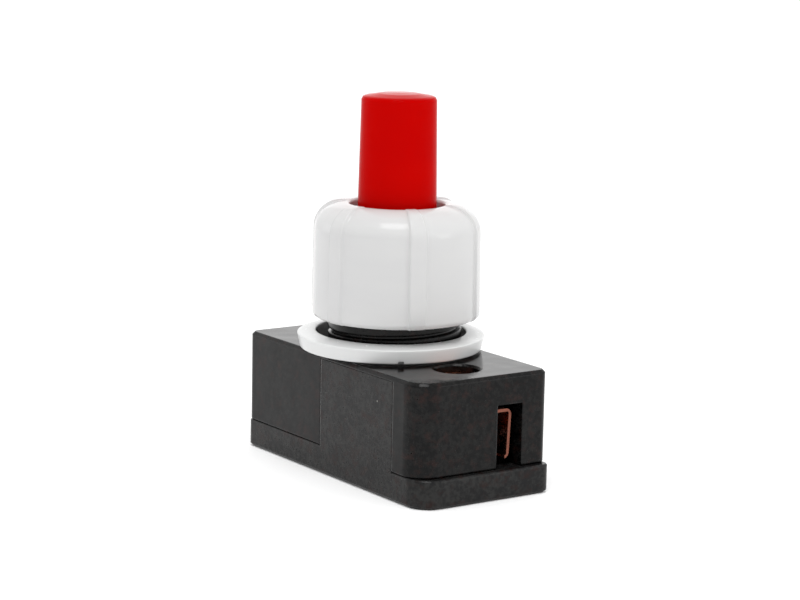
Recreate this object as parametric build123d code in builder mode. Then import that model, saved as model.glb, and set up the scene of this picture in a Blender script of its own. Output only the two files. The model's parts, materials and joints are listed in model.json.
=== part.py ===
from build123d import *
import os
from math import cos, radians, sin

# Self locking push switch, in millimetres.
# Z runs up the push button and X along the long side of the body.
# The origin lies under the button, on the face that the switch stands on.
# The body is the same after half a turn about Z, but for the overhang of its cover, so each terminal
# piece is drawn once, at the near end (+X), and turned round for the far end.

# Body
body_length = 23.0
body_width = 11.6
corner_radius = 1.8
sharp_corner_radius = 0.7
inner_corner_radius = 0.5
edge_chamfer = 0.22
edge_clearance = 0.3
wall = 1.3
roof = 1.4
cover_height = 2.15
cover_floor = 1.3
near_overhang = 0.55
far_overhang = 0.12
seam_chamfer = 0.1
seam_gap = 0.03

# Cheeks of the cover, let into the long sides of the housing
cheek_start = -1.15
cheek_from_end = 3.2
cheek_thickness = 0.6
cheek_below_top = 0.34
catch_width = 2.6
catch_depth = 0.25
catch_below_cheek_top = 0.6
catch_height = 0.8

# Lip of the cover, inside the long walls
lip_from_end = 3.0
lip_thickness = 0.7
lip_height = 0.85
lip_gap = 0.1

# Neck. The thread itself stands on the core and reaches the crest
neck_wall = 1.05
thread_depth = 0.25
neck_height = 7.7
neck_chamfer = 0.3
neck_lip = 1.0
neck_bore_gap = 0.2
key_bore_gap = 0.2

# Washer, lying to one side on the housing
washer_width = 1.39
washer_rim_height = 1.23
washer_dish = 0.2
washer_draft = 0.2
washer_foot_inset = 0.14
washer_foot_height = 0.12
washer_bore_gap = 0.65
washer_shift = 0.5
washer_chamfer = 0.12
gate_nick_angle = -28.0
gate_nick_width = 0.6
gate_nick_depth = 0.3
gate_nick_height = 0.38

# Cap nut
nut_gap = 1.2
nut_wall = 1.3
nut_height = 8.5
nut_foot_inset = 0.3
nut_foot_height = 0.45
nut_draft = 0.08
nut_dome_drop = 2.0
nut_hole_gap = 0.6
nut_hole_chamfer = 0.15
nut_bore_gap = 0.05
nut_roof = 1.8
groove_count = 6
groove_start = -19.4
groove_angle = 12.0
groove_depth = 0.28
groove_depth_at_hole = 0.05

# Push button
button_radius = 2.95
button_tip_radius = 2.81
button_height_over_nut = 8.2
button_dome = 0.2
button_dome_radius = 1.5
button_edge_depth = 0.3
button_edge_width = 0.12
button_shoulder_depth = 0.08
button_shoulder_width = 0.35
button_wall = 1.05
button_roof = 2.4
stroke = 3.5

# Ratchet latch
latch_slots = 4
rib_width = 2.2
rib_slant = 0.9
rotor_gap = 0.45
rotor_height = 3.1
lug_width = 1.6
lug_height = 1.5
lug_below_teeth = 0.2
lug_engagement = 1.2
key_radius = 3.5
key_width = 1.9
key_gap = 0.2
key_over_lug = 0.6
tooth_count = 8
tooth_width = 1.6
tooth_depth = 0.6
crown_gap = 0.15
pilot_gap = 0.2
pilot_height = 1.8
stem_radius = 0.95
stem_end = 0.9

# Clip, springs and contact bridge
clip_radius = 2.0
clip_thickness = 0.4
clip_mouth = 1.1
clip_groove_depth = 0.25
clip_gap = 0.05
clip_seat_gap = 0.02
return_spring_closed = 1.75
return_spring_radius = 1.6
return_spring_wire = 0.3
return_spring_turns = 3.0
wire_sides = 4
spring_pocket_depth = 0.4
spring_pocket_gap = 0.3
spring_post_radius = 1.2
spring_post_height = 0.6
spring_end_gap = 0.03
contact_spring_length = 3.0
contact_spring_radius = 1.5
contact_spring_wire = 0.28
contact_spring_turns = 3.0
bridge_end = 1.0
bridge_width = 2.6
bridge_eye_radius = 2.2
bridge_thickness = 0.5
bridge_hole_gap = 0.15
bridge_headroom = 0.6

# Contact buttons, welded on
contact_to_screw = 2.9
contact_radius = 0.9
contact_head = 0.6
contact_crown = 0.15
contact_flat_radius = 0.5

# Terminals
sheet = 0.24
terminal_base_z = 2.7
terminal_height = 3.75
terminal_open_y = -2.4
ear_inner_y = 2.5
ear_lean = 0.19
fold_radius = 0.5
fold_inner_radius = 0.15
terminal_end_gap = 0.2
ear_setback = 0.6
tongue_width = 2.8
tongue_end = 1.2
terminal_edge = 0.35
ear_slot_gap = 0.1
collar_wall = 0.3
collar_depth = 0.5
pedestal_width = 2.6
pedestal_past_screw = 1.6

# Clamp screws and wire plates
screw_from_end = 3.5
screw_radius = 1.25
screw_thread_gap = 0.05
screw_head_radius = 1.45
screw_head_height = 0.85
screw_slot_width = 0.45
screw_slot_depth = 0.4
screw_travel = 1.2
screw_stop_gap = 0.05
access_hole_gap = 0.2
access_chamfer = 0.15
wire_plate_length = 3.1
wire_plate_width = 4.2
wire_plate_thickness = 0.4
pivot_radius = 0.5
pivot_gap = 0.05
hold_down_width = 0.6
hold_down_length = 2.6
hold_down_y = 2.0

# Wire slots in the end walls
slot_inner_y = 1.2
slot_width = 2.25
slot_height = 4.75

# Heights and places that follow
half_length = body_length / 2
half_width = body_width / 2
screw_x = half_length - screw_from_end
contact_x = screw_x - contact_to_screw
spring_seat = cover_floor - spring_pocket_depth
clip_z = spring_seat + return_spring_closed + stroke
bridge_z = clip_z + clip_thickness + clip_gap
bridge_top = bridge_z + bridge_thickness
bridge_length = 2 * (contact_x + bridge_end)
roof_under = bridge_top + bridge_headroom
housing_top = roof_under + roof
neck_top = housing_top + neck_height
neck_bore_radius = button_radius + neck_bore_gap
guide_bore_radius = key_radius + key_bore_gap
neck_core_radius = guide_bore_radius + neck_wall
thread_crest_radius = neck_core_radius + thread_depth
washer_bore_radius = thread_crest_radius + washer_bore_gap
washer_radius = washer_bore_radius + washer_width
washer_foot_radius = washer_radius - washer_draft
washer_rim_top = housing_top + washer_rim_height
washer_top = washer_rim_top + washer_dish
nut_bottom = washer_top + nut_gap
nut_top = nut_bottom + nut_height
nut_bore_radius = thread_crest_radius + nut_bore_gap
nut_radius = nut_bore_radius + nut_wall
nut_hole_radius = button_radius + nut_hole_gap
nut_shoulder = nut_top - nut_dome_drop
button_top = nut_top + button_height_over_nut
tip_edge_z = button_top - button_dome
rotor_radius = neck_bore_radius - rotor_gap
pilot_radius = button_radius - button_wall - pilot_gap
rotor_z = bridge_top + contact_spring_length
rotor_top = rotor_z + rotor_height
crown_z = rotor_top + crown_gap
lug_top = rotor_top - lug_below_teeth
rib_bottom = lug_top - lug_engagement
guide_top = neck_top - neck_lip
key_top = guide_top - key_gap
key_bottom = lug_top + key_over_lug
key_height = key_top - key_bottom
tooth_pitch = 360 / tooth_count
slot_pitch = 360 / latch_slots
slot_angles = [index * slot_pitch for index in range(latch_slots)]
rib_angles = [angle + slot_pitch / 2 for angle in slot_angles]
tooth_angles = [index * tooth_pitch for index in range(tooth_count // 2)]
terminal_floor = terminal_base_z + sheet
terminal_top = terminal_base_z + terminal_height
terminal_inner_x = screw_x - screw_radius - screw_thread_gap - terminal_edge
terminal_outer_x = half_length - wall - terminal_end_gap
pedestal_start = contact_x - contact_radius
pedestal_length = screw_x + pedestal_past_screw - pedestal_start
lip_length = body_length - 2 * lip_from_end
ear_tip_x = half_length - ear_setback
wire_plate_z = terminal_floor + screw_stop_gap + screw_travel
shank_bottom = wire_plate_z + wire_plate_thickness + pivot_gap
screw_head_z = terminal_top + screw_stop_gap + screw_travel
cheek_top = housing_top - cheek_below_top
cheek_end = half_length - cheek_from_end
cheek_length = cheek_end - cheek_start
cheek_middle = (cheek_start + cheek_end) / 2
catch_top = cheek_top - catch_below_cheek_top
both_sides = (1, -1)


def radial_plane(angle):
    """Upright plane through the button's axis, facing outwards at an angle about Z."""
    a = radians(angle)
    return Plane(origin=(0, 0, 0), x_dir=(-sin(a), cos(a), 0), z_dir=(cos(a), sin(a), 0))


def profile_plane(angle):
    """Upright plane that holds the button's axis, with x outwards at an angle about Z and y up."""
    a = radians(angle)
    return Plane(origin=(0, 0, 0), x_dir=(cos(a), sin(a), 0), z_dir=(sin(a), -cos(a), 0))


def dome_middle(width, drop):
    """Middle point of the cap nut's dome, which bulges like an ellipse of this width and drop."""
    return nut_hole_radius + width * cos(radians(45)), nut_shoulder + drop * sin(radians(45))


def body_outline(length):
    """Body's outline in the current sketch, with two round and two sharp corners."""
    with BuildSketch() as outline:
        Rectangle(length, body_width)
        round_corners = outline.vertices().filter_by(lambda corner: corner.X * corner.Y < 0)
        fillet(round_corners, corner_radius)
        far_out = length * body_width / 5
        sharp_corners = outline.vertices().filter_by(lambda corner: corner.X * corner.Y > far_out)
        fillet(sharp_corners, sharp_corner_radius)
    return outline.sketch


# Upper housing: shell, neck, latch ribs, wire slots and screwdriver holes
with BuildPart() as upper_housing:
    with BuildSketch(Plane.XY.offset(cover_height)):
        add(body_outline(body_length))
    extrude(amount=housing_top - cover_height)
    chamfer(upper_housing.faces().sort_by(Axis.Z)[-1].edges(), edge_chamfer)
    chamfer(upper_housing.faces().sort_by(Axis.Z)[0].edges(), seam_chamfer)
    with BuildSketch(Plane.XY.offset(cover_height)):
        RectangleRounded(body_length - 2 * wall, body_width - 2 * wall, inner_corner_radius)
    extrude(amount=roof_under - cover_height, mode=Mode.SUBTRACT)
    with BuildSketch(Plane.XY.offset(roof_under)):
        Circle(neck_core_radius)
    extrude(amount=neck_top - roof_under)
    chamfer(upper_housing.faces().sort_by(Axis.Z)[-1].edges(), neck_chamfer)
    with BuildSketch(Plane.XY.offset(roof_under)):
        Circle(guide_bore_radius)
    extrude(amount=guide_top - roof_under, mode=Mode.SUBTRACT)
    # The ribs end in a slant, under which the rotor's lugs lock
    for angle in rib_angles:
        with BuildSketch(radial_plane(angle).offset(neck_bore_radius - wall / 2)):
            with BuildLine():
                Polyline(
                    (-rib_width / 2, rib_bottom),
                    (rib_width / 2, rib_bottom + rib_slant),
                    (rib_width / 2, guide_top),
                    (-rib_width / 2, guide_top),
                    close=True,
                )
            make_face()
        extrude(until=Until.NEXT)
    with BuildSketch(Plane.XY.offset(rib_bottom)):
        Circle(neck_bore_radius)
    extrude(amount=neck_top - rib_bottom, mode=Mode.SUBTRACT)
    for side in both_sides:
        with Locations((side * screw_x, 0, housing_top)):
            Cylinder(screw_head_radius + access_hole_gap, 2 * roof, mode=Mode.SUBTRACT)
        with Locations((side * screw_x, 0, housing_top - access_chamfer)):
            Cone(
                screw_head_radius + access_hole_gap,
                screw_head_radius + access_hole_gap + access_chamfer,
                access_chamfer,
                align=(Align.CENTER, Align.CENTER, Align.MIN),
                mode=Mode.SUBTRACT,
            )
        slot_y = slot_inner_y + slot_width / 2
        with Locations((side * (half_length - wall / 2), side * slot_y, cover_height)):
            Box(
                2 * wall,
                slot_width,
                slot_height,
                align=(Align.CENTER, Align.CENTER, Align.MIN),
                mode=Mode.SUBTRACT,
            )
        # Recess of a cheek, with the pocket of its catch
        with Locations((side * cheek_middle, -side * half_width, cover_height)):
            Box(
                cheek_length + 2 * seam_gap,
                2 * (cheek_thickness + seam_gap),
                cheek_top + seam_gap - cover_height,
                align=(Align.CENTER, Align.CENTER, Align.MIN),
                mode=Mode.SUBTRACT,
            )
        catch_y = half_width - cheek_thickness
        with Locations((side * cheek_middle, -side * catch_y, catch_top + seam_gap)):
            Box(
                catch_width + 2 * seam_gap,
                2 * (catch_depth + seam_gap),
                catch_height + 2 * seam_gap,
                align=(Align.CENTER, Align.CENTER, Align.MAX),
                mode=Mode.SUBTRACT,
            )
        # Ribs that hold a terminal down, one each side of its screw
        for row in both_sides:
            with Locations((side * screw_x, row * hold_down_y, terminal_top)):
                Box(
                    hold_down_length,
                    hold_down_width,
                    roof_under - terminal_top,
                    align=(Align.CENTER, Align.CENTER, Align.MIN),
                )

# Base cover: floor, pedestals, spring seat, lips and side cheeks
with BuildPart() as base_cover:
    with BuildSketch():
        with Locations(((near_overhang - far_overhang) / 2, 0)):
            add(body_outline(body_length + near_overhang + far_overhang))
    extrude(amount=cover_height)
    chamfer(base_cover.faces().sort_by(Axis.Z)[-1].edges(), seam_chamfer)
    chamfer(base_cover.faces().sort_by(Axis.Z)[0].edges(), edge_chamfer)
    with BuildSketch(Plane.XY.offset(cover_floor)):
        RectangleRounded(body_length - 2 * wall, body_width - 2 * wall, inner_corner_radius)
    extrude(amount=cover_height - cover_floor, mode=Mode.SUBTRACT)
    with BuildSketch(Plane.XY.offset(spring_seat)):
        Circle(return_spring_radius + return_spring_wire / 2 + spring_pocket_gap)
        Circle(spring_post_radius, mode=Mode.SUBTRACT)
    extrude(amount=spring_pocket_depth, mode=Mode.SUBTRACT)
    with BuildSketch(Plane.XY.offset(spring_seat)):
        Circle(spring_post_radius)
    extrude(amount=spring_post_height)
    for side in both_sides:
        with Locations((side * (pedestal_start + pedestal_length / 2), 0, cover_floor)):
            Box(
                pedestal_length,
                pedestal_width,
                terminal_base_z - cover_floor,
                align=(Align.CENTER, Align.CENTER, Align.MIN),
            )
        with Locations((0, side * (half_width - wall - lip_gap - lip_thickness / 2), cover_floor)):
            Box(
                lip_length,
                lip_thickness,
                cover_height + lip_height - cover_floor,
                align=(Align.CENTER, Align.CENTER, Align.MIN),
            )
        with Locations((side * cheek_middle, -side * (half_width - cheek_thickness / 2), cover_floor)):
            Box(
                cheek_length,
                cheek_thickness,
                cheek_top - cover_floor,
                align=(Align.CENTER, Align.CENTER, Align.MIN),
            )
        # Catch: a ramp that snaps into its pocket
        with BuildSketch(Plane.YZ.offset(side * cheek_middle - catch_width / 2)):
            with BuildLine():
                Polyline(
                    (-side * (half_width - cheek_thickness), catch_top),
                    (-side * (half_width - cheek_thickness), catch_top - catch_height),
                    (-side * (half_width - cheek_thickness - catch_depth), catch_top - catch_height),
                    close=True,
                )
            make_face()
        extrude(amount=catch_width)

# Washer: a moulded ring, slightly dished on top and set in at its foot, with the nick of its gate
with BuildPart() as neck_washer:
    with BuildSketch(Plane(origin=(-washer_shift, 0, 0), x_dir=(1, 0, 0), z_dir=(0, -1, 0))):
        with BuildLine():
            Polyline(
                (washer_bore_radius, housing_top),
                (washer_foot_radius - washer_foot_inset, housing_top),
                (washer_foot_radius, housing_top + washer_foot_height),
                (washer_radius, washer_rim_top - washer_chamfer),
                (washer_radius - washer_chamfer, washer_rim_top),
                (washer_bore_radius, washer_top),
                close=True,
            )
        make_face()
    revolve(axis=Axis((-washer_shift, 0, 0), (0, 0, 1)))
    nick_x = washer_foot_radius * cos(radians(gate_nick_angle)) - washer_shift
    nick_y = washer_foot_radius * sin(radians(gate_nick_angle))
    with Locations(Location((nick_x, nick_y, housing_top), (0, 0, gate_nick_angle))):
        Box(
            2 * gate_nick_depth,
            gate_nick_width,
            gate_nick_height,
            align=(Align.CENTER, Align.CENTER, Align.MIN),
            mode=Mode.SUBTRACT,
        )

# One groove of the cap nut: it follows the nut's outside and dies out at the hole
with BuildPart() as nut_groove:
    with BuildSketch(profile_plane(-groove_angle / 2)):
        with BuildLine():
            foot = nut_radius - nut_foot_inset - groove_depth
            side_low = nut_radius - groove_depth
            side_high = nut_radius - nut_draft - groove_depth
            Polyline(
                (nut_hole_radius, nut_top - groove_depth_at_hole),
                (nut_hole_radius, nut_top + edge_clearance),
                (nut_radius + edge_clearance, nut_top + edge_clearance),
                (nut_radius + edge_clearance, nut_bottom - edge_clearance),
                (foot, nut_bottom - edge_clearance),
                (foot, nut_bottom),
                (side_low, nut_bottom + nut_foot_height),
                (side_high, nut_shoulder),
            )
            ThreePointArc(
                (side_high, nut_shoulder),
                dome_middle(side_high - nut_hole_radius, nut_dome_drop - groove_depth_at_hole),
                (nut_hole_radius, nut_top - groove_depth_at_hole),
            )
        make_face()
    revolve(axis=Axis.Z, revolution_arc=groove_angle)

# Cap nut: domed, open at the top for the button
with BuildPart() as cap_nut:
    with BuildSketch(Plane.XZ) as nut_profile:
        with BuildLine():
            Polyline(
                (nut_hole_radius, nut_top),
                (nut_hole_radius, nut_top - nut_roof),
                (nut_bore_radius, nut_top - nut_roof),
                (nut_bore_radius, nut_bottom),
                (nut_radius - nut_foot_inset, nut_bottom),
                (nut_radius, nut_bottom + nut_foot_height),
                (nut_radius - nut_draft, nut_shoulder),
            )
            ThreePointArc(
                (nut_radius - nut_draft, nut_shoulder),
                dome_middle(nut_radius - nut_draft - nut_hole_radius, nut_dome_drop),
                (nut_hole_radius, nut_top),
            )
        make_face()
        chamfer(nut_profile.vertices().group_by(Axis.Y)[-1], nut_hole_chamfer)
    revolve(axis=Axis.Z)
    with PolarLocations(0, groove_count, start_angle=groove_start):
        add(nut_groove.part, mode=Mode.SUBTRACT)

# Push button: a hollow moulding with keys and a toothed crown
with BuildPart() as push_button:
    with BuildSketch(Plane.XZ):
        with BuildLine():
            Polyline(
                (0, button_top),
                (0, button_top - button_roof),
                (button_radius - button_wall, button_top - button_roof),
                (button_radius - button_wall, crown_z),
                (button_radius, crown_z),
                (button_radius, nut_top),
                (button_tip_radius, tip_edge_z - button_edge_depth),
                (button_tip_radius - button_edge_width, tip_edge_z - button_shoulder_depth),
                (button_tip_radius - button_shoulder_width, tip_edge_z),
                (button_dome_radius, button_top - button_dome / 4),
                (0, button_top),
                close=True,
            )
        make_face()
    revolve(axis=Axis.Z)
    for angle in slot_angles:
        with BuildSketch(radial_plane(angle).offset(button_radius - button_wall / 2)):
            with Locations((0, key_top - key_height / 2)):
                Rectangle(key_width, key_height)
        extrude(amount=key_radius - button_radius + button_wall / 2)
    for angle in tooth_angles:
        with BuildSketch(radial_plane(angle)):
            with BuildLine():
                Polyline(
                    (-tooth_width / 2, crown_z),
                    (tooth_width / 2, crown_z),
                    (0, crown_z + tooth_depth),
                    close=True,
                )
            make_face()
        extrude(amount=2 * button_radius, both=True, mode=Mode.SUBTRACT)

# Ratchet rotor: toothed barrel, four slanted lugs, pilot and stem
with BuildPart() as ratchet_rotor:
    with BuildSketch(Plane.XY.offset(rotor_z)):
        Circle(rotor_radius)
    extrude(amount=rotor_height)
    for angle in tooth_angles:
        with BuildSketch(radial_plane(angle)):
            with BuildLine():
                Polyline(
                    (-tooth_width / 2, rotor_top),
                    (tooth_width / 2, rotor_top),
                    (0, rotor_top - tooth_depth),
                    close=True,
                )
            make_face()
        extrude(amount=2 * rotor_radius, both=True, mode=Mode.SUBTRACT)
    for angle in slot_angles:
        lug_low = lug_top - lug_height
        lug_slant = rib_slant * lug_width / rib_width
        with BuildSketch(radial_plane(angle).offset(rotor_radius / 2)):
            with BuildLine():
                Polyline(
                    (-lug_width / 2, lug_low),
                    (lug_width / 2, lug_low),
                    (lug_width / 2, lug_top),
                    (-lug_width / 2, lug_top - lug_slant),
                    close=True,
                )
            make_face()
        extrude(amount=key_radius - rotor_radius / 2)
    with BuildSketch(Plane.XY.offset(rotor_z)):
        Circle(pilot_radius)
    extrude(amount=rotor_height + pilot_height)
    with BuildSketch(Plane.XY.offset(clip_z - stem_end)):
        Circle(stem_radius)
    extrude(amount=rotor_z - clip_z + stem_end)
    with BuildSketch(Plane.XY.offset(clip_z - clip_gap)):
        Circle(stem_radius)
        Circle(stem_radius - clip_groove_depth, mode=Mode.SUBTRACT)
    extrude(amount=clip_thickness + 2 * clip_gap, mode=Mode.SUBTRACT)

# Retaining clip: an open ring in the stem's groove
with BuildPart() as retaining_clip:
    with BuildSketch(Plane.XY.offset(clip_z)):
        Circle(clip_radius)
        Circle(stem_radius - clip_groove_depth + clip_seat_gap, mode=Mode.SUBTRACT)
        with Locations((0, clip_radius / 2)):
            Rectangle(clip_mouth, clip_radius, mode=Mode.SUBTRACT)
    extrude(amount=clip_thickness)

# Return spring, between the cover's pocket and the clip
with BuildPart() as return_spring:
    with BuildLine() as return_coil:
        spring_height = clip_z - spring_seat - return_spring_wire - 2 * spring_end_gap
        Helix(
            pitch=spring_height / return_spring_turns,
            height=spring_height,
            radius=return_spring_radius,
            center=(0, 0, spring_seat + spring_end_gap + return_spring_wire / 2),
        )
    with BuildSketch(Plane(origin=return_coil.line @ 0, z_dir=return_coil.line % 0)):
        RegularPolygon(return_spring_wire / 2, wire_sides)
    sweep(is_frenet=True)

# Contact spring, between the bridge and the rotor
with BuildPart() as contact_spring:
    with BuildLine() as contact_coil:
        spring_height = contact_spring_length - contact_spring_wire - 2 * spring_end_gap
        Helix(
            pitch=spring_height / contact_spring_turns,
            height=spring_height,
            radius=contact_spring_radius,
            center=(0, 0, bridge_top + spring_end_gap + contact_spring_wire / 2),
        )
    with BuildSketch(Plane(origin=contact_coil.line @ 0, z_dir=contact_coil.line % 0)):
        RegularPolygon(contact_spring_wire / 2, wire_sides)
    sweep(is_frenet=True)

# Contact bridge: a strip with a round eye for the stem
with BuildPart() as contact_bridge:
    with BuildSketch(Plane.XY.offset(bridge_z)):
        Rectangle(bridge_length, bridge_width)
        Circle(bridge_eye_radius)
        Circle(stem_radius + bridge_hole_gap, mode=Mode.SUBTRACT)
    extrude(amount=bridge_thickness)

# Bridge contact at the near end: crowned head under the strip
with BuildPart() as bridge_contact:
    with BuildSketch(Plane.XZ):
        with BuildLine():
            Polyline(
                (0, bridge_z - contact_head),
                (0, bridge_z),
                (contact_radius, bridge_z),
                (contact_radius, bridge_z - contact_head + contact_crown),
                (contact_flat_radius, bridge_z - contact_head),
                close=True,
            )
        make_face()
    revolve(axis=Axis.Z)

# Fixed contact at the near end: crowned head on the terminal's tongue
with BuildPart() as fixed_contact:
    with BuildSketch(Plane.XZ):
        with BuildLine():
            Polyline(
                (0, terminal_floor + contact_head),
                (0, terminal_floor),
                (contact_radius, terminal_floor),
                (contact_radius, terminal_floor + contact_head - contact_crown),
                (contact_flat_radius, terminal_floor + contact_head),
                close=True,
            )
        make_face()
    revolve(axis=Axis.Z)

# Terminal at the near end: a folded copper channel with an ear in the wire slot and a tongue
with BuildPart() as terminal:
    with BuildSketch(Plane.YZ.offset(terminal_inner_x)) as channel:
        with BuildLine():
            lean_per_height = ear_lean / terminal_height
            Polyline(
                (terminal_open_y, terminal_base_z),
                (ear_inner_y + sheet, terminal_base_z),
                (ear_inner_y + sheet + ear_lean, terminal_top),
                (terminal_open_y, terminal_top),
                (terminal_open_y, terminal_top - sheet),
                (ear_inner_y + ear_lean - sheet * lean_per_height, terminal_top - sheet),
                (ear_inner_y + sheet * lean_per_height, terminal_floor),
                (terminal_open_y, terminal_floor),
                close=True,
            )
        make_face()
        corners = channel.vertices().filter_by_position(Axis.X, 0, ear_inner_y + 2 * sheet + ear_lean)
        fillet(corners.filter_by_position(Axis.Y, terminal_floor, terminal_top - sheet), fold_inner_radius)
        outer_corners = channel.vertices().filter_by_position(Axis.X, 0, ear_inner_y + 2 * sheet + ear_lean)
        fillet(
            outer_corners.group_by(Axis.Y)[0] + outer_corners.group_by(Axis.Y)[-1],
            fold_radius,
        )
    extrude(amount=ear_tip_x - terminal_inner_x)
    # Only the fold and the upper plate beside it reach into the wire slot
    with Locations((ear_tip_x, slot_inner_y + ear_slot_gap, terminal_base_z)):
        Box(
            ear_tip_x - terminal_outer_x,
            slot_inner_y + ear_slot_gap - terminal_open_y,
            terminal_height,
            align=(Align.MAX, Align.MAX, Align.MIN),
            mode=Mode.SUBTRACT,
        )
    with Locations((ear_tip_x, ear_inner_y - sheet / 2, terminal_base_z)):
        Box(
            ear_tip_x - terminal_outer_x,
            ear_inner_y - terminal_open_y,
            2 * sheet,
            align=(Align.MAX, Align.MAX, Align.MIN),
            mode=Mode.SUBTRACT,
        )
    with Locations((contact_x - tongue_end, 0, terminal_base_z)):
        Box(
            terminal_inner_x - contact_x + tongue_end,
            tongue_width,
            sheet,
            align=(Align.MIN, Align.CENTER, Align.MIN),
        )
    # Plunged collar for the screw's thread
    with Locations((screw_x, 0, terminal_top - sheet)):
        Cylinder(
            screw_radius + screw_thread_gap + collar_wall,
            collar_depth,
            align=(Align.CENTER, Align.CENTER, Align.MAX),
        )
        Cylinder(screw_radius + screw_thread_gap, 2 * (sheet + collar_depth), mode=Mode.SUBTRACT)

# Wire plate at the near end, with the seat of the screw's pivot
with BuildPart() as wire_plate:
    with BuildSketch(Plane.XY.offset(wire_plate_z)):
        with Locations((screw_x, 0)):
            Rectangle(wire_plate_length, wire_plate_width)
            Circle(pivot_radius + pivot_gap, mode=Mode.SUBTRACT)
    extrude(amount=wire_plate_thickness)

# Clamp screw at the near end: slotted head, threaded shank and a pivot for the wire plate
with BuildPart() as clamp_screw:
    with BuildSketch(Plane.XZ):
        with BuildLine():
            Polyline(
                (0, screw_head_z + screw_head_height),
                (screw_head_radius, screw_head_z + screw_head_height),
                (screw_head_radius, screw_head_z),
                (screw_radius, screw_head_z),
                (screw_radius, shank_bottom),
                (pivot_radius, shank_bottom),
                (pivot_radius, wire_plate_z + pivot_gap),
                (0, wire_plate_z + pivot_gap),
                close=True,
            )
        make_face()
    revolve(axis=Axis.Z)
    chamfer(clamp_screw.faces().sort_by(Axis.Z)[-1].edges(), access_chamfer)
    with Locations((0, 0, screw_head_z + screw_head_height)):
        Box(
            2 * screw_head_radius,
            screw_slot_width,
            2 * screw_slot_depth,
            rotation=(0, 0, 35),
            mode=Mode.SUBTRACT,
        )

# Files: the single pieces, then each terminal piece at both ends
os.makedirs("parts", exist_ok=True)
single_pieces = {
    "upper_housing": upper_housing,
    "base_cover": base_cover,
    "neck_washer": neck_washer,
    "cap_nut": cap_nut,
    "push_button": push_button,
    "ratchet_rotor": ratchet_rotor,
    "retaining_clip": retaining_clip,
    "return_spring": return_spring,
    "contact_spring": contact_spring,
    "contact_bridge": contact_bridge,
}
for name, piece in single_pieces.items():
    piece.part.label = name
    export_step(piece.part, f"parts/{name}.step")

near_pieces = {
    "terminal": (terminal, 0),
    "fixed_contact": (fixed_contact, contact_x),
    "bridge_contact": (bridge_contact, contact_x),
    "wire_plate": (wire_plate, 0),
    "clamp_screw": (clamp_screw, screw_x),
}
for name, (piece, place_x) in near_pieces.items():
    for end, turn in (("near", 0), ("far", 180)):
        placed = Rot(0, 0, turn) * (Pos(place_x, 0, 0) * piece.part)
        placed.label = f"{name}_{end}"
        export_step(placed, f"parts/{placed.label}.step")
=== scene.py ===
"""Dresses the self locking push switch and sets it on a pale studio floor.

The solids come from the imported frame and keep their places. The script gives each of them its
finish, and adds what is left to it: the neck's thread, and finer meshes of the nut and the washer.
Lengths are in metres where their name doesn't say otherwise, with Z up along the push button.
"""
import json
import logging
import math
from collections.abc import Iterator
from contextlib import contextmanager
from dataclasses import dataclass, field
from enum import Enum

import bpy
from mathutils import Matrix, Vector


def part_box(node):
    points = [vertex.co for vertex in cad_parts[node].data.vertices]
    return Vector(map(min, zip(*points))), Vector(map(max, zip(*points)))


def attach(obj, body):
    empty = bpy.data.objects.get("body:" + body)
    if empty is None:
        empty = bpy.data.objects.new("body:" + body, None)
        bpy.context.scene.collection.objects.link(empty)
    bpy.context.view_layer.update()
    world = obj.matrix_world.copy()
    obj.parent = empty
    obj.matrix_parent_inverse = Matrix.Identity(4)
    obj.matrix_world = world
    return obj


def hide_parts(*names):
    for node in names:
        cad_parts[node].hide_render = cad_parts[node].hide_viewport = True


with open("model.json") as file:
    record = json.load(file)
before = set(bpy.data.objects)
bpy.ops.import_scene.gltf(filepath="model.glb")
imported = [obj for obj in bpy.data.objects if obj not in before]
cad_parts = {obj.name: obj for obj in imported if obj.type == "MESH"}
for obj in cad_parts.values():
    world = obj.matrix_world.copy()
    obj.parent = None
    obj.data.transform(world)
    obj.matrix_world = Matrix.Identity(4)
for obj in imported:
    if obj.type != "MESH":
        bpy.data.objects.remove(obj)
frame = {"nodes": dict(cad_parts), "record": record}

LOG = logging.getLogger("push_switch")
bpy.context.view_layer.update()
MM = 0.001


class Signal:
    """A socket of a node tree that adds its maths nodes when it is used in an expression."""

    def __init__(self, paint: "Paint", socket: bpy.types.NodeSocket) -> None:
        """Wraps a socket.

        Args:
            paint: The node tree's builder.
            socket: The output socket to wrap.
        """
        self.paint = paint
        self.socket = socket

    def _math(self, operation: str, first: "Signal | float", second: "Signal | float") -> "Signal":
        """Adds one Math node.

        Args:
            operation: The node's operation.
            first: Its first value.
            second: Its second value.

        Returns:
            The node's result.
        """
        return self.paint.node("ShaderNodeMath", {"operation": operation}, {0: first, 1: second})

    def __add__(self, other: "Signal | float") -> "Signal":
        """Sum."""
        return self._math("ADD", self, other)

    def __sub__(self, other: "Signal | float") -> "Signal":
        """Difference."""
        return self._math("SUBTRACT", self, other)

    def __rsub__(self, other: "Signal | float") -> "Signal":
        """Difference, with the signal second."""
        return self._math("SUBTRACT", other, self)

    def __mul__(self, other: "Signal | float") -> "Signal":
        """Product."""
        return self._math("MULTIPLY", self, other)

    def __lt__(self, other: "Signal | float") -> "Signal":
        """One where the signal is less, and zero elsewhere."""
        return self._math("LESS_THAN", self, other)

    def ramp(self, low: float, high: float, start: float = 0.0, end: float = 1.0) -> "Signal":
        """Maps a range of the signal smoothly to another, and holds it beyond the ends.

        Args:
            low: The signal's value at the start.
            high: The signal's value at the end.
            start: The result at the low value.
            end: The result at the high value.

        Returns:
            The mapped signal.
        """
        inputs = {"Value": self, "From Min": low, "From Max": high, "To Min": start, "To Max": end}
        return self.paint.node("ShaderNodeMapRange", {"interpolation_type": "SMOOTHSTEP"}, inputs)


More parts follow.
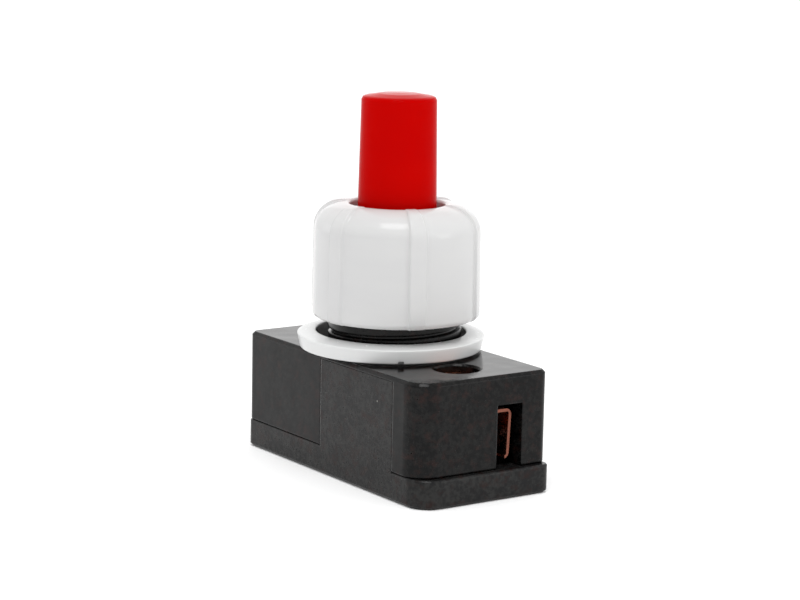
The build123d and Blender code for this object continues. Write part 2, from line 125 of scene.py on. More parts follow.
Colour = tuple[float, float, float]
Scale = tuple[float, float, float]
Band = tuple[float, float]
Inputs = dict[int | str, Signal | float | Vector | tuple[float, ...]]
WHITE: Colour = (1.0, 1.0, 1.0)
MIDDLE = 0.5    # of a pattern that runs from 0 to 1


@dataclass(frozen=True)
class Clouds:
    """A cloudy pattern: clouds to a millimetre, finer layers, their strength, and which pattern."""

    per_mm: float
    detail: float = 2.0
    rough: float = 0.5
    seed: float = 0.0


@dataclass(frozen=True)
class Streaks:
    """A cloudy pattern drawn out along some axes: cycles to a millimetre, and finer layers."""

    per_mm: Scale
    detail: float = 3.0


@dataclass(frozen=True)
class Specks:
    """Small round specks: cells to a millimetre, the share that holds one, and its size in it."""

    per_mm: float
    share: float
    size: float


class Paint:
    """Builds the nodes of one material or of the world."""

    BEVEL_SAMPLES = 6
    # The Mix node's sockets for colours, whose names are those of its other sockets too.
    MIX_MASK, MIX_FIRST, MIX_SECOND, MIX_RESULT = 0, 6, 7, 2

    def __init__(self, owner: bpy.types.Material | bpy.types.World, place: str = "Object") -> None:
        """Starts an empty node tree.

        Args:
            owner: The material or world that has the tree.
            place: Which coordinates the patterns follow.
        """
        self.owner = owner
        owner.use_nodes = True
        self.tree = owner.node_tree
        self.tree.nodes.clear()
        self.place = self.node("ShaderNodeTexCoord", {}, {}, output=place)

    def node(
        self,
        kind: str,
        settings: dict[str, object],
        inputs: Inputs,
        output: int | str = 0,
    ) -> Signal:
        """Adds a node.

        Args:
            kind: The node's type.
            settings: Its own settings, which are set first.
            inputs: A value or a signal for each socket that is named or numbered.
            output: The socket to return.

        Returns:
            The chosen output.
        """
        node = self.tree.nodes.new(kind)
        for key, value in settings.items():
            setattr(node, key, value)
        for key, value in inputs.items():
            if isinstance(value, Signal):
                self.tree.links.new(value.socket, node.inputs[key])
            elif node.inputs[key].type == "RGBA":
                node.inputs[key].default_value = (*value, 1.0)
            else:
                node.inputs[key].default_value = value
        return Signal(self, node.outputs[output])

    def clouds(self, pattern: Clouds) -> Signal:
        """Adds a cloudy pattern.

        Args:
            pattern: How it looks.

        Returns:
            The pattern, from 0 to 1.
        """
        inputs = {
            "Vector": self.place,
            "W": pattern.seed,
            "Scale": pattern.per_mm / MM,
            "Detail": pattern.detail,
            "Roughness": pattern.rough,
        }
        return self.node("ShaderNodeTexNoise", {"noise_dimensions": "4D"}, inputs, output="Fac")

    def streaks(self, pattern: Streaks) -> Signal:
        """Adds a cloudy pattern that is drawn out along some axes.

        Args:
            pattern: How it looks.

        Returns:
            The pattern, from 0 to 1.
        """
        per_metre = tuple(value / MM for value in pattern.per_mm)
        stretch = {"Vector": self.place, "Scale": per_metre}
        stretched = self.node("ShaderNodeMapping", {"vector_type": "POINT"}, stretch)
        inputs = {"Vector": stretched, "Scale": 1.0, "Detail": pattern.detail}
        return self.node("ShaderNodeTexNoise", {}, inputs, output="Fac")

    def specks(self, pattern: Specks) -> Signal:
        """Adds thinly strewn specks.

        Args:
            pattern: How they look.

        Returns:
            One on the specks and zero elsewhere.
        """
        cells = {"Vector": self.place, "Scale": pattern.per_mm / MM}
        distance = self.node("ShaderNodeTexVoronoi", {}, cells, output="Distance")
        colour = self.node("ShaderNodeTexVoronoi", {}, cells, output="Color")
        chance = self.node("ShaderNodeSeparateColor", {}, {"Color": colour})
        return (distance < pattern.size) * (chance < pattern.share)

    def mix(self, mask: Signal, first: Colour | Signal, second: Colour | Signal) -> Signal:
        """Blends two colours.

        Args:
            mask: Zero for the first colour, one for the second.
            first: The first colour.
            second: The second colour.

        Returns:
            The blend.
        """
        inputs = {self.MIX_MASK: mask, self.MIX_FIRST: first, self.MIX_SECOND: second}
        return self.node("ShaderNodeMix", {"data_type": "RGBA"}, inputs, output=self.MIX_RESULT)

    def soft_edges(self, radius_mm: float) -> Signal:
        """Turns the normal round the part's edges, as on a moulding or a tumbled blank.

        Args:
            radius_mm: The edges' radius.

        Returns:
            The normal.
        """
        settings = {"samples": self.BEVEL_SAMPLES}
        return self.node("ShaderNodeBevel", settings, {"Radius": radius_mm * MM})

    def bump(self, height: Signal, depth_mm: float, under: Signal) -> Signal:
        """Turns a height pattern into a normal.

        Args:
            height: The pattern, from 0 to 1.
            depth_mm: How deep the pattern is.
            under: The normal that it lies on.

        Returns:
            The bumped normal.
        """
        inputs = {"Height": height, "Distance": depth_mm * MM, "Strength": 1.0, "Normal": under}
        return self.node("ShaderNodeBump", {}, inputs)

    def end(self, kind: str, shader: Signal) -> None:
        """Adds the output node.

        Args:
            kind: The output node's type.
            shader: The shader that it shows.
        """
        output = self.tree.nodes.new(kind)
        self.tree.links.new(shader.socket, output.inputs["Surface"])

    def surface(self, inputs: Inputs) -> bpy.types.Material:
        """Adds a material's shader and its output.

        Args:
            inputs: A value or a signal for each of the shader's sockets that is named.

        Returns:
            The finished material.
        """
        self.end("ShaderNodeOutputMaterial", self.node("ShaderNodeBsdfPrincipled", {}, inputs))
        return self.owner


@dataclass(frozen=True)
class MouldedThermoset:
    """Dark moulding of the housing and its cover, with a fine mottle and a few light specks."""

    name: str = "charcoal_thermoset"
    dark: Colour = (0.0004, 0.0005, 0.0007)
    light: Colour = (0.0080, 0.0080, 0.0076)
    rust: Colour = (0.0170, 0.0068, 0.0054)
    dust: Colour = (0.42, 0.41, 0.38)
    cloud: Clouds = Clouds(0.55, detail=3.0)
    mottle: Clouds = Clouds(2.8, detail=4.0, rough=0.7, seed=2.0)
    rusting: Clouds = Clouds(1.3, detail=4.0, rough=0.6, seed=5.0)
    grain: Clouds = Clouds(14.0, seed=1.0)
    waves: Clouds = Clouds(0.35, detail=1.0, seed=8.0)
    specks: Specks = Specks(1.1, share=0.035, size=0.055)
    cloud_share: float = 0.3
    mottle_share: float = 0.7
    grey_band: Band = (0.42, 0.60)
    rust_band: Band = (0.48, 0.72)
    rust_share: float = 0.85
    dust_share: float = 0.8
    roughness: float = 0.09
    mottle_swing: float = 0.16
    cloud_band: Band = (0.45, 0.65)
    cloud_rise: float = 0.05
    specular: float = 0.16
    grain_mm: float = 0.002
    waves_mm: float = 0.05
    edge_mm: float = 0.16

    def build(self) -> bpy.types.Material:
        """Builds the material."""
        paint = Paint(bpy.data.materials.new(self.name))
        cloud = paint.clouds(self.cloud)
        mottle = paint.clouds(self.mottle)
        tone = (cloud * self.cloud_share + mottle * self.mottle_share).ramp(*self.grey_band)
        grey = paint.mix(tone, self.dark, self.light)
        rusty = paint.clouds(self.rusting).ramp(*self.rust_band) * self.rust_share
        dusty = paint.specks(self.specks) * self.dust_share
        swing = (mottle - MIDDLE) * self.mottle_swing
        rise = cloud.ramp(*self.cloud_band) * self.cloud_rise
        wavy = paint.bump(paint.clouds(self.waves), self.waves_mm, paint.soft_edges(self.edge_mm))
        return paint.surface({
            "Base Color": paint.mix(dusty, paint.mix(rusty, grey, self.rust), self.dust),
            "Roughness": swing + self.roughness + rise,
            "Specular IOR Level": self.specular,
            "Normal": paint.bump(paint.clouds(self.grain), self.grain_mm, wavy),
        })


@dataclass(frozen=True)
class GlossPlastic:
    """Bright injection moulding, such as the cap nut or the button."""

    name: str
    colour: Colour
    shade: Colour
    roughness: float
    flow: Streaks = Streaks((0.10, 0.10, 0.35))
    scuffs: Streaks = Streaks((3.0, 3.0, 0.4), detail=4.0)
    smudge: Clouds = Clouds(0.8, detail=4.0, rough=0.6, seed=3.0)
    grain: Clouds = Clouds(9.0, seed=6.0)
    ripple: Clouds = Clouds(0.45, detail=1.0, seed=9.0)
    flow_band: Band = (0.35, 0.70)
    scuff_band: Band = (0.62, 0.75)
    smudge_swing: float = 0.16
    scuff_rise: float = 0.06
    specular: float = 0.4
    grain_mm: float = 0.0015
    ripple_mm: float = 0.015
    edge_mm: float = 0.15

    def build(self) -> bpy.types.Material:
        """Builds the material."""
        paint = Paint(bpy.data.materials.new(self.name))
        flow = paint.streaks(self.flow).ramp(*self.flow_band)
        swing = (paint.clouds(self.smudge) - MIDDLE) * self.smudge_swing
        rise = paint.streaks(self.scuffs).ramp(*self.scuff_band) * self.scuff_rise
        edges = paint.soft_edges(self.edge_mm)
        rippled = paint.bump(paint.clouds(self.ripple), self.ripple_mm, edges)
        return paint.surface({
            "Base Color": paint.mix(flow, self.colour, self.shade),
            "Roughness": swing + self.roughness + rise,
            "Specular IOR Level": self.specular,
            "Normal": paint.bump(paint.clouds(self.grain), self.grain_mm, rippled),
        })


@dataclass(frozen=True)
class WorkedMetal:
    """Bare metal that was drawn, rolled or turned, with cloudy patches of tarnish. On the terminal
    and the screw the darkened colours and patches are painted shade as well as tarnish.
    """

    name: str
    colour: Colour
    tarnish_and_shade: Colour
    roughness: float
    brushing: Streaks = Streaks((1.0, 8.0, 8.0), detail=4.0)
    stain: Clouds = Clouds(1.1, detail=4.0, rough=0.6, seed=4.0)
    stain_band: Band = (0.45, 0.72)
    tarnish_and_shade_share: float = 0.5
    tarnish_dulling: float = 0.35
    tarnish_rise: float = 0.25
    brushed_swing: float = 0.2
    brushed_mm: float = 0.004
    edge_mm: float = 0.05

    def build(self) -> bpy.types.Material:
        """Builds the material."""
        paint = Paint(bpy.data.materials.new(self.name))
        brushed = paint.streaks(self.brushing)
        # Cloudy patches of tarnish; on the terminal and the screw their dark colour is painted
        # shade too.
        mask = paint.clouds(self.stain).ramp(*self.stain_band) * self.tarnish_and_shade_share
        swing = (brushed - MIDDLE) * self.brushed_swing
        return paint.surface({
            "Base Color": paint.mix(mask, self.colour, self.tarnish_and_shade),
            "Metallic": 1.0 - mask * self.tarnish_dulling,
            "Roughness": swing + self.roughness + mask * self.tarnish_rise,
            "Normal": paint.bump(brushed, self.brushed_mm, paint.soft_edges(self.edge_mm)),
        })


class Finish(Enum):
    """The finishes of the switch, by what they are on."""

    HOUSING = MouldedThermoset()
    COVER = MouldedThermoset(
        "charcoal_cover_thermoset", dark=(0.0075, 0.0075, 0.0079), light=(0.0210, 0.0208, 0.0202)
    )
    NUT = GlossPlastic(
        "white_nut_plastic", (0.590, 0.590, 0.588), (0.570, 0.570, 0.572), 0.12,
        specular=0.26, grain_mm=0.0002, edge_mm=0.06,
    )
    WASHER = GlossPlastic(
        "white_washer_plastic", (0.685, 0.690, 0.685), (0.640, 0.645, 0.645), 0.24,
        specular=0.25, grain_mm=0.0010,
    )
    BUTTON = GlossPlastic(
        "red_button_plastic", (0.465, 0.0008, 0.0003), (0.445, 0.0005, 0.0003), 0.09,
        specular=0.012, grain_mm=0.0003, edge_mm=0.20,
    )
    ROTOR = GlossPlastic("natural_acetal", (0.66, 0.65, 0.60), (0.60, 0.58, 0.53), 0.38)
    SPRING = WorkedMetal(
        "bright_spring_wire", (0.62, 0.62, 0.62), (0.35, 0.34, 0.32), 0.26, tarnish_and_shade_share=0.25
    )
    BRIDGE = WorkedMetal("blanked_brass", (0.78, 0.58, 0.28), (0.42, 0.27, 0.12), 0.30)
    # Copper darkened far below its bare colour, with dark patches over most of it: painted shade
    # for the copper deep in the slot, partly tarnish.
    TERMINAL = WorkedMetal(
        "folded_copper", (0.20, 0.075, 0.052), (0.07, 0.020, 0.013), 0.26, tarnish_and_shade_share=0.8
    )
    CONTACT = WorkedMetal(
        "contact_silver", (0.84, 0.83, 0.81), (0.40, 0.38, 0.36), 0.24, tarnish_and_shade_share=0.3
    )
    WIRE_PLATE = WorkedMetal(
        "plated_steel", (0.64, 0.64, 0.62), (0.36, 0.34, 0.30), 0.30, tarnish_and_shade_share=0.3
    )
    # Copper plating darkened, with dark patches over most of the head: partly tarnish, partly
    # painted shade for the head down in its hole.
    SCREW = WorkedMetal(
        "coppered_screw", (0.70, 0.20, 0.08), (0.22, 0.05, 0.02), 0.22, tarnish_and_shade_share=0.8
    )


SLOT_FINISH: dict[str, Finish] = {
    "housing_plastic": Finish.HOUSING,
    "washer_plastic": Finish.WASHER,
    "nut_plastic": Finish.NUT,
    "button_plastic": Finish.BUTTON,
    "rotor_plastic": Finish.ROTOR,
    "spring_steel": Finish.SPRING,
    "bridge_brass": Finish.BRIDGE,
    "terminal_copper": Finish.TERMINAL,
    "contact_silver": Finish.CONTACT,
    "plate_steel": Finish.WIRE_PLATE,
    "screw_copper": Finish.SCREW,
}

# Nodes that look different from the rest of their slot.
NODE_FINISH: dict[str, Finish] = {"base_cover": Finish.COVER}


@dataclass
class Dresser:
    """Gives pieces and CAD nodes their finishes, each material built once."""

    materials: dict[Finish, bpy.types.Material] = field(default_factory=dict)

    def material(self, finish: Finish) -> bpy.types.Material:
        """Finds the material of a finish, which is built the first time it is asked for.

        Args:
            finish: The finish.

        Returns:
            Its material.
        """
        if finish not in self.materials:
            self.materials[finish] = finish.value.build()
        return self.materials[finish]

    def dress(self, piece: bpy.types.Object, finish: Finish) -> None:
        """Puts one finish all over a piece.

        Args:
            piece: The piece or CAD node.
            finish: Its finish.
        """
        if not piece.material_slots:
            piece.data.materials.append(self.material(finish))
        for slot in piece.material_slots:
            slot.material = self.material(finish)

    def dress_frame(self) -> None:
        """Gives each CAD node the finish of its slot in the record."""
        for subpart in frame["record"]["subparts"]:
            finish = NODE_FINISH.get(subpart["node"], SLOT_FINISH[subpart["material_slot"]])
            self.dress(frame["nodes"][subpart["node"]], finish)
            LOG.info("%s: %s", subpart["node"], finish.name)


Ring = tuple[float, float]


class Workbench:
    """Makes new pieces with Blender's own modelling operators."""

    @staticmethod
    def clear() -> None:
        """Leaves edit mode and deselects everything."""
        if bpy.context.mode != "OBJECT":
            bpy.ops.object.mode_set(mode="OBJECT")
        bpy.ops.object.select_all(action="DESELECT")

    @classmethod
    def take(cls, piece: bpy.types.Object) -> None:
        """Makes a piece the only one selected.

        Args:
            piece: The piece.
        """
        cls.clear()
        piece.select_set(True)
        bpy.context.view_layer.objects.active = piece

    @classmethod
    @contextmanager
    def editing(cls, piece: bpy.types.Object, select_all: bool = True) -> Iterator[None]:
        """Keeps a piece in edit mode for the length of a with block.

        Args:
            piece: The piece.
            select_all: Whether all of it is selected first.
        """
        cls.take(piece)
        bpy.ops.object.mode_set(mode="EDIT")
        if select_all:
            bpy.ops.mesh.select_all(action="SELECT")
        yield
        bpy.ops.object.mode_set(mode="OBJECT")

    @classmethod
    def settle(cls, piece: bpy.types.Object) -> None:
        """Moves a piece's place into its mesh and leaves its object at the origin.

        Args:
            piece: The piece.
        """
        cls.take(piece)
        bpy.ops.object.transform_apply(location=True, rotation=True, scale=True)

    @classmethod
    def apply(cls, piece: bpy.types.Object, kind: str, **settings: object) -> None:
        """Adds a modifier and applies it.

        Args:
            piece: The piece.
            kind: The modifier's type.
            settings: The modifier's settings.
        """
        cls.take(piece)
        modifier = piece.modifiers.new(kind.lower(), kind)
        for key, value in settings.items():
            setattr(modifier, key, value)
        bpy.ops.object.modifier_apply(modifier=modifier.name)

    @classmethod
    def smooth(cls, piece: bpy.types.Object, angle: float) -> None:
        """Shades a piece smooth, apart from its sharp edges.

        Args:
            piece: The piece.
            angle: The angle from which an edge is sharp, in degrees.
        """
        cls.take(piece)
        bpy.ops.object.shade_smooth_by_angle(angle=math.radians(angle))

    @classmethod
    def lathe(
        cls, name: str, rings: list[Ring], segments: int, axis: tuple[float, float] = (0.0, 0.0)
    ) -> bpy.types.Object:
        """Turns a closed profile about an upright axis, ring by ring.

        Args:
            name: The piece's name.
            rings: Radius and height of each corner of the profile, in order.
            segments: How many sides the turned form has.
            axis: The axis's X and Y.

        Returns:
            The turned piece, with its place in its mesh.
        """
        cls.clear()
        centre = Vector((*axis, 0.0))
        radius, height = rings[0]
        bpy.ops.mesh.primitive_circle_add(
            vertices=segments, radius=radius, location=(*axis, height)
        )
        piece = bpy.context.object
        piece.name = piece.data.name = name
        cls.settle(piece)
        with cls.editing(piece):
            for next_radius, next_height in rings[1:]:
                bpy.ops.mesh.extrude_edges_move(
                    MESH_OT_extrude_edges_indiv={},
                    TRANSFORM_OT_translate={"value": (0, 0, next_height - height)},
                )
                share = next_radius / radius
                bpy.ops.transform.resize(value=(share, share, 1.0), center_override=centre)
                radius, height = next_radius, next_height
        cls._close(piece, segments, len(rings))
        return piece

    @classmethod
    def _close(cls, piece: bpy.types.Object, segments: int, count: int) -> None:
        """Bridges the last ring of a turned piece to its first.

        Args:
            piece: The piece.
            segments: How many corners a ring has.
            count: How many rings there are.
        """
        ends = set(range(segments)) | set(range(segments * (count - 1), segments * count))
        for vertex in piece.data.vertices:
            vertex.select = False
        for edge in piece.data.edges:
            edge.select = all(index in ends for index in edge.vertices)
        with cls.editing(piece, select_all=False):
            bpy.ops.mesh.select_mode(type="EDGE")
            bpy.ops.mesh.bridge_edge_loops()
            bpy.ops.mesh.select_mode(type="VERT")
            bpy.ops.mesh.select_all(action="SELECT")
            bpy.ops.mesh.normals_make_consistent(inside=False)


def quarter(start: Ring, end: Ring, steps: int, upright_first: bool) -> list[Ring]:
    """Places corners along a quarter of an ellipse, both ends among them.

    Args:
        start: Radius and height of its first point.
        end: Radius and height of its last point.
        steps: How many straight runs it has.
        upright_first: Whether it starts upright and ends level, or the other way round.

    Returns:
        The corners, in order.
    """
    corners = []
    for step in range(steps + 1):
        turn = math.pi / 2 * step / steps
        slow, fast = 1.0 - math.cos(turn), math.sin(turn)
        across, along = (slow, fast) if upright_first else (fast, slow)
        corners.append(
            (start[0] + (end[0] - start[0]) * across, start[1] + (end[1] - start[1]) * along)
        )
    return corners


def clamp(value: float) -> float:
    """Holds a value between 0 and 1.

    Args:
        value: The value.

    Returns:
        The value, or the limit that it is past.
    """
    return min(max(value, 0.0), 1.0)


@dataclass
class CapNut:
    """The domed nut as it was moulded, with round edges and low ribs, steep on one side."""

    hole_radius: float = 3.55 * MM
    bore_radius: float = 5.05 * MM
    panel_inset: float = 0.12 * MM
    draft: float = 0.08 * MM
    dome_drop: float = 2.0 * MM
    roof: float = 1.8 * MM
    hole_round: float = 0.22 * MM
    foot_inset: float = 0.30 * MM
    foot_height: float = 0.42 * MM
    bore_round: float = 0.10 * MM
    hole_steps: int = 5
    dome_steps: int = 22
    side_steps: int = 5
    foot_steps: int = 8
    bore_steps: int = 3
    segments: int = 720
    smooth_deg: float = 50.0
    ribs: int = 6
    rib_at_deg: float = -19.4
    steep_flat_deg: float = 5.4
    steep_reach_deg: float = 6.5
    gentle_flat_deg: float = 4.2
    gentle_reach_deg: float = 7.0
    rib_height: float = 0.20 * MM
    rim_share: float = 0.2         # what is left of a rib on the flat rim of the hole
    dome_share: float = 0.25       # where the dome starts
    foot_share: float = 0.15       # at the very foot
    fade_width: float = 1.1 * MM   # over which it grows to its full height on the dome
    rim_slack: float = 1e-7        # how far under the top still counts as the rim

    def profile(self) -> tuple[list[Ring], int]:
        """Draws the nut's closed section, from its hole over the dome to the foot, then inside.

        Returns:
            The section, and how many of its first corners lie outside.
        """
        low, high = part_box("cap_nut")
        radius = (high[0] - low[0]) / 2 - self.panel_inset
        shoulder = high[2] - self.dome_drop
        side_top = radius - self.draft
        edge = self.hole_radius + self.hole_round
        foot_top = low[2] + self.foot_height
        outside = quarter(
            (self.hole_radius, high[2] - self.hole_round), (edge, high[2]), self.hole_steps, True
        )[:-1]
        outside += quarter((edge, high[2]), (side_top, shoulder), self.dome_steps, False)
        for step in range(1, self.side_steps):
            share = step / self.side_steps
            outside.append(
                (side_top + (radius - side_top) * share, shoulder + (foot_top - shoulder) * share)
            )
        outside += quarter(
            (radius, foot_top), (radius - self.foot_inset, low[2]), self.foot_steps, True
        )
        inside_edge = (self.bore_radius + self.bore_round, low[2])
        bore_start = (self.bore_radius, low[2] + self.bore_round)
        inside = quarter(inside_edge, bore_start, self.bore_steps, False)
        roof_under = high[2] - self.roof
        inside += [(self.bore_radius, roof_under), (self.hole_radius, roof_under)]
        return outside + inside, len(outside)

    def build(self, dresser: Dresser) -> bpy.types.Object:
        """Turns the nut and raises its ribs.

        Args:
            dresser: Gives the nut its finish.

        Returns:
            The nut.
        """
        rings, outside = self.profile()
        piece = Workbench.lathe("cap_nut_moulding", rings, self.segments)
        self._raise_ribs(piece, outside * self.segments)
        Workbench.smooth(piece, self.smooth_deg)
        dresser.dress(piece, Finish.NUT)
        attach(piece, "nut")
        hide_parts("cap_nut")
        return piece

    def _rib_share(self, place: Vector) -> float:
        """Finds how much of a rib there is at a place round the axis.

        Args:
            place: The place.

        Returns:
            The share, from 0 between the ribs to 1 on the flat of one.
        """
        pitch = 360.0 / self.ribs
        angle = math.degrees(math.atan2(place.y, place.x)) - self.rib_at_deg
        off = (angle + pitch / 2) % pitch - pitch / 2
        flat, reach = self.gentle_flat_deg, self.gentle_reach_deg
        if off < 0:
            flat, reach = self.steep_flat_deg, self.steep_reach_deg
        slope = clamp((reach - abs(off)) / (reach - flat))
        return slope * slope * (3 - 2 * slope)

    def _strength(self, place: Vector, bottom: float, top: float) -> float:
        """Finds how much of its height a rib has at a place outside.

        Args:
            place: The place.
            bottom: The nut's lowest height.
            top: The nut's greatest height.

        Returns:
            The share of the height, from 0 to 1.
        """
        radius = math.hypot(place.x, place.y)
        edge = self.hole_radius + self.hole_round
        if radius < edge and place.z > top - self.dome_drop:
            return 0.0
        share = self.rim_share
        if place.z < top - self.rim_slack:
            fade = clamp((radius - edge) / self.fade_width)
            share = self.dome_share + (1.0 - self.dome_share) * fade
        foot = min((place.z - bottom) / self.foot_height, 1.0)
        return share * (self.foot_share + (1.0 - self.foot_share) * foot)

    def _raise_ribs(self, piece: bpy.types.Object, outside: int) -> None:
        """Raises the ribs with a displacement that is weighted by the angle about the axis.

        Args:
            piece: The turned nut.
            outside: How many of its first vertices lie outside.
        """
        group = piece.vertex_groups.new(name="ribs")
        heights = [vertex.co.z for vertex in piece.data.vertices]
        bottom, top = min(heights), max(heights)
        for vertex in piece.data.vertices[:outside]:
            weight = self._rib_share(vertex.co) * self._strength(vertex.co, bottom, top)
            if weight > 0:
                group.add([vertex.index], weight, "REPLACE")
        Workbench.apply(
            piece, "DISPLACE", direction="NORMAL", strength=self.rib_height, mid_level=0.0,
            vertex_group=group.name,
        )


@dataclass
class NeckWasher:
    """The loose moulded ring on the neck, wide at its rim, with the nick of its gate."""

    width: float = 1.39 * MM
    rim_height: float = 1.23 * MM
    draft: float = 0.20 * MM
    foot_inset: float = 0.85 * MM
    foot_height: float = 0.17 * MM
    foot_round: float = 0.10 * MM
    rim_round: float = 0.08 * MM
    bore_round: float = 0.10 * MM
    rim_steps: int = 6
    foot_steps: int = 5
    bore_steps: int = 3
    segments: int = 240
    smooth_deg: float = 40.0
    nick_at_deg: float = -28.0
    nick_length: float = 1.60 * MM
    nick_width: float = 0.42 * MM
    nick_height: float = 0.36 * MM

    def build(self, dresser: Dresser) -> bpy.types.Object:
        """Turns the ring about its own axis and cuts the nick.

        Args:
            dresser: Gives the washer its finish.

        Returns:
            The washer.
        """
        low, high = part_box("neck_washer")
        centre = ((low[0] + high[0]) / 2, (low[1] + high[1]) / 2)
        radius = (high[0] - low[0]) / 2
        foot = radius - self.draft
        rings = self.profile(radius, low[2], high[2])
        piece = Workbench.lathe("neck_washer_moulding", rings, self.segments, centre)
        self._cut_nick(piece, centre, foot, low[2])
        Workbench.smooth(piece, self.smooth_deg)
        dresser.dress(piece, Finish.WASHER)
        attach(piece, "body")
        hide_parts("neck_washer")
        return piece

    def profile(self, radius: float, bottom: float, top: float) -> list[Ring]:
        """Draws the washer's closed section, from its bore over the rim to the foot.

        Args:
            radius: Its rim's radius.
            bottom: Its lowest height.
            top: Its greatest height.

        Returns:
            The section.
        """
        bore = radius - self.width
        foot = radius - self.draft
        rim_top = bottom + self.rim_height
        foot_top = bottom + self.foot_height
        bore_edge = bore + self.bore_round
        rings = quarter((bore, top - self.bore_round), (bore_edge, top), self.bore_steps, True)
        rings += quarter(
            (radius - self.rim_round, rim_top), (radius, rim_top - self.rim_round),
            self.rim_steps, False,
        )
        rings += quarter(
            (foot, foot_top + self.foot_round), (foot - self.foot_round, foot_top),
            self.foot_steps, True,
        )
        rings += [(foot - self.foot_inset, foot_top), (foot - self.foot_inset, bottom)]
        rings += quarter(
            (bore_edge, bottom), (bore, bottom + self.bore_round), self.bore_steps, False
        )
        return rings

    def _cut_nick(
        self, piece: bpy.types.Object, centre: tuple[float, float], foot: float, bottom: float
    ) -> None:
        """Cuts the nick into the foot's edge.

        Args:
            piece: The turned washer.
            centre: Its axis's X and Y.
            foot: The radius at which the nick lies.
            bottom: The washer's lowest height.
        """
        turn = math.radians(self.nick_at_deg)
        place = (centre[0] + foot * math.cos(turn), centre[1] + foot * math.sin(turn), bottom)
        bpy.ops.mesh.primitive_cube_add(size=1.0, rotation=(0, 0, turn), location=place)
        cutter = bpy.context.object
        cutter.scale = (self.nick_length, self.nick_width, 2 * self.nick_height)
        Workbench.settle(cutter)
        Workbench.apply(piece, "BOOLEAN", operation="DIFFERENCE", object=cutter, solver="EXACT")
        bpy.data.objects.remove(cutter)


@dataclass
class NeckThread:
    """The fine thread that stands on the neck's core."""

    core_radius: float = 4.75 * MM
    crest_radius: float = 5.0 * MM
    pitch: float = 1.0 * MM
    crest_width: float = 0.66 * MM
    root_width: float = 0.92 * MM
    bottom: float = 9.5 * MM
    top: float = 16.35 * MM
    sink: float = 0.03 * MM
    weld: float = 0.001 * MM
    steps_per_turn: int = 96
    smooth_deg: float = 40.0

    def build(self, dresser: Dresser) -> bpy.types.Object:
        """Winds the thread's section up the neck and cuts it off level at the neck's chamfer.

        Args:
            dresser: Gives the thread the housing's finish.

        Returns:
            The thread.
        """
        piece = self._section()
        turns = (self.top - self.bottom) / self.pitch
        Workbench.apply(
            piece, "SCREW", angle=math.tau, screw_offset=self.pitch, iterations=math.ceil(turns),
            steps=self.steps_per_turn, render_steps=self.steps_per_turn, use_merge_vertices=False,
        )
        with Workbench.editing(piece):
            bpy.ops.mesh.bisect(
                plane_co=(0, 0, self.top), plane_no=(0, 0, 1), clear_outer=True, use_fill=True
            )
        with Workbench.editing(piece):
            bpy.ops.mesh.remove_doubles(threshold=self.weld)
            bpy.ops.mesh.normals_make_consistent(inside=False)
        Workbench.smooth(piece, self.smooth_deg)
        dresser.dress(piece, Finish.HOUSING)
        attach(piece, "body")
        return piece

    def _section(self) -> bpy.types.Object:
        """Makes the thread's section as an upright plane.

        Returns:
            The plane, with its four corners in place.
        """
        Workbench.clear()
        bpy.ops.mesh.primitive_plane_add(
            size=1.0, location=(0, 0, 0), rotation=(math.pi / 2, 0, 0)
        )
        piece = bpy.context.object
        piece.name = piece.data.name = "neck_thread"
        Workbench.settle(piece)
        inner = self.core_radius - self.sink
        middle = (inner + self.crest_radius) / 2
        corners = [
            (inner, -self.root_width / 2),
            (self.crest_radius, -self.crest_width / 2),
            (self.crest_radius, self.crest_width / 2),
            (inner, self.root_width / 2),
        ]
        order = sorted(piece.data.vertices, key=lambda v: math.atan2(v.co.z, v.co.x))
        targets = sorted(corners, key=lambda c: math.atan2(c[1], c[0] - middle))
        for vertex, (radius, height) in zip(order, targets):
            vertex.co = (radius, 0.0, self.bottom + height)
        return piece


@dataclass(frozen=True)
class Softbox:
    """A square light that faces the switch, with its angles in degrees."""

    name: str
    azimuth: float
    elevation: float
    side: float
    radiance: float


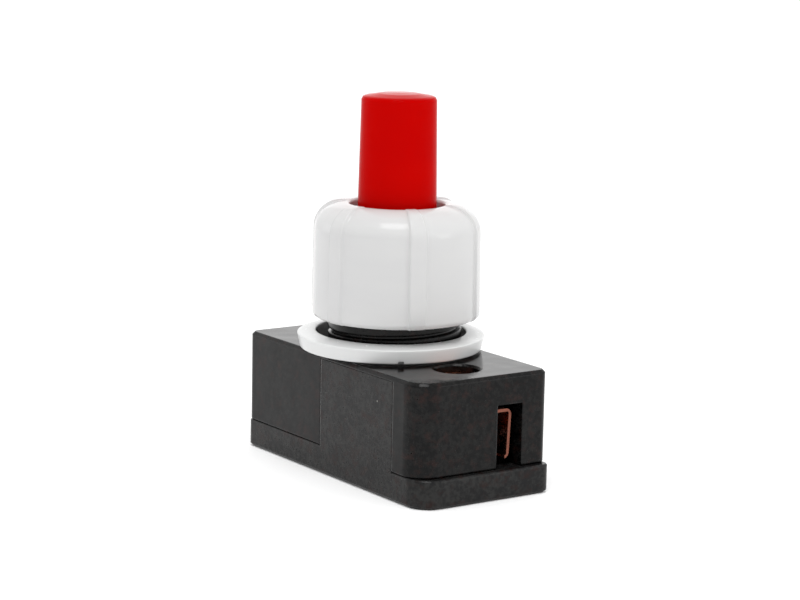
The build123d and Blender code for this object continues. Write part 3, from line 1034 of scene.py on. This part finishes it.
@dataclass
class Studio:
    """Pale floor, soft lights and the camera at the photograph's angle."""

    azimuth: float = 55.248
    elevation: float = 10.488
    roll: float = 1.166
    distance: float = 186.147 * MM
    target: tuple[float, float, float] = (0.620 * MM, 0.0, 12.961 * MM)
    focal_pixels: float = 2492.0
    image_width: int = 800
    sensor_mm: float = 36.0
    clip: tuple[float, float] = (0.01, 20.0)
    floor_size: float = 6.0
    floor_colour: Colour = (0.90, 0.90, 0.90)
    floor_shade: Colour = (0.92, 0.92, 0.92)
    floor_clouds: float = 3.0      # to a metre
    floor_roughness: float = 0.85
    floor_specular: float = 0.1
    floor_glow: float = 0.10
    dim_azimuth: float = -24.0     # where the room is dimmest, from the camera's azimuth
    dim_elevation: float = -42.0
    dim_band: Band = (0.05, 0.82)  # cosine of the angle from there, where it starts and ends
    bright: float = 1.06
    dim: float = 0.06
    light_distance: float = 0.5
    softboxes: tuple[Softbox, ...] = (
        Softbox("key_softbox", 48.0, 66.0, side=0.24, radiance=5.4),
        Softbox("left_softbox", -58.0, 9.0, side=0.18, radiance=0.9),
        Softbox("right_softbox", 126.0, 8.0, side=0.16, radiance=2.2),
        Softbox("back_softbox", 230.0, 16.0, side=0.34, radiance=0.34),
    )

    @staticmethod
    def towards(azimuth: float, elevation: float) -> Vector:
        """Finds a direction from the switch.

        Args:
            azimuth: Its angle round the switch in degrees, 0 at -Y and 90 at +X.
            elevation: Its angle over the floor in degrees.

        Returns:
            The direction, of length 1.
        """
        a, e = math.radians(azimuth), math.radians(elevation)
        return Vector((math.sin(a) * math.cos(e), -math.cos(a) * math.cos(e), math.sin(e)))

    def camera(self) -> None:
        """Makes the scene's camera."""
        back = self.towards(self.azimuth, self.elevation)
        right = Vector((0, 0, 1)).cross(back).normalized()
        up = back.cross(right)
        turn = math.radians(self.roll)
        rolled_right = right * math.cos(turn) + up * math.sin(turn)
        rolled_up = up * math.cos(turn) - right * math.sin(turn)
        data = bpy.data.cameras.new("studio_camera")
        data.sensor_width = self.sensor_mm
        data.lens = self.focal_pixels * self.sensor_mm / self.image_width
        data.clip_start, data.clip_end = self.clip
        camera = bpy.data.objects.new("studio_camera", data)
        bpy.context.scene.collection.objects.link(camera)
        axes = Matrix((rolled_right, rolled_up, back)).transposed().to_4x4()
        place = Vector(self.target) + back * self.distance
        camera.matrix_world = Matrix.Translation(place) @ axes
        bpy.context.scene.camera = camera

    def light(self, softbox: Softbox) -> None:
        """Adds a softbox as an area light.

        Its power is pi times its radiance and its area, for a face that shines evenly.

        Args:
            softbox: The softbox.
        """
        data = bpy.data.lights.new(softbox.name, "AREA")
        data.size = softbox.side
        data.energy = softbox.radiance * math.pi * softbox.side * softbox.side
        light = bpy.data.objects.new(softbox.name, data)
        bpy.context.scene.collection.objects.link(light)
        back = self.towards(softbox.azimuth, softbox.elevation)
        light.rotation_mode = "QUATERNION"
        light.rotation_quaternion = back.to_track_quat("Z", "Y")
        light.location = Vector(self.target) + back * self.light_distance

    def floor(self) -> None:
        """Lays the pale floor."""
        Workbench.clear()
        bpy.ops.mesh.primitive_plane_add(size=self.floor_size, location=(0, 0, 0))
        floor = bpy.context.object
        floor.name = floor.data.name = "studio_floor"
        paint = Paint(bpy.data.materials.new("pale_floor"))
        inputs = {"Vector": paint.place, "Scale": self.floor_clouds}
        cloud = paint.node("ShaderNodeTexNoise", {}, inputs, output="Fac")
        floor.data.materials.append(paint.surface({
            "Base Color": paint.mix(cloud, self.floor_colour, self.floor_shade),
            "Roughness": self.floor_roughness,
            "Specular IOR Level": self.floor_specular,
            "Emission Color": WHITE,
            "Emission Strength": self.floor_glow,
        }))

    def room(self) -> None:
        """Lights the whole scene from a white room that is dim low down behind the camera."""
        world = bpy.data.worlds.new("white_room")
        bpy.context.scene.world = world
        paint = Paint(world, place="Generated")
        dimmest = self.towards(self.azimuth + self.dim_azimuth, self.dim_elevation)
        inputs = {0: paint.place, 1: dimmest}
        settings = {"operation": "DOT_PRODUCT"}
        nearness = paint.node("ShaderNodeVectorMath", settings, inputs, output="Value")
        strength = nearness.ramp(*self.dim_band, start=self.bright, end=self.dim)
        inputs = {"Color": WHITE, "Strength": strength}
        paint.end("ShaderNodeOutputWorld", paint.node("ShaderNodeBackground", {}, inputs))

    def build(self) -> None:
        """Builds the whole studio."""
        self.floor()
        self.room()
        for softbox in self.softboxes:
            self.light(softbox)
        self.camera()
        bpy.context.scene.view_settings.view_transform = "Standard"


def main() -> None:
    """Dresses the switch and builds the studio round it."""
    logging.basicConfig(level=logging.INFO, format="%(message)s")
    dresser = Dresser()
    dresser.dress_frame()
    for maker in (CapNut(), NeckWasher(), NeckThread()):
        piece = maker.build(dresser)
        LOG.info("%s: %d faces", piece.name, len(piece.data.polygons))
    Studio().build()


if __name__ == "__main__":
    main()
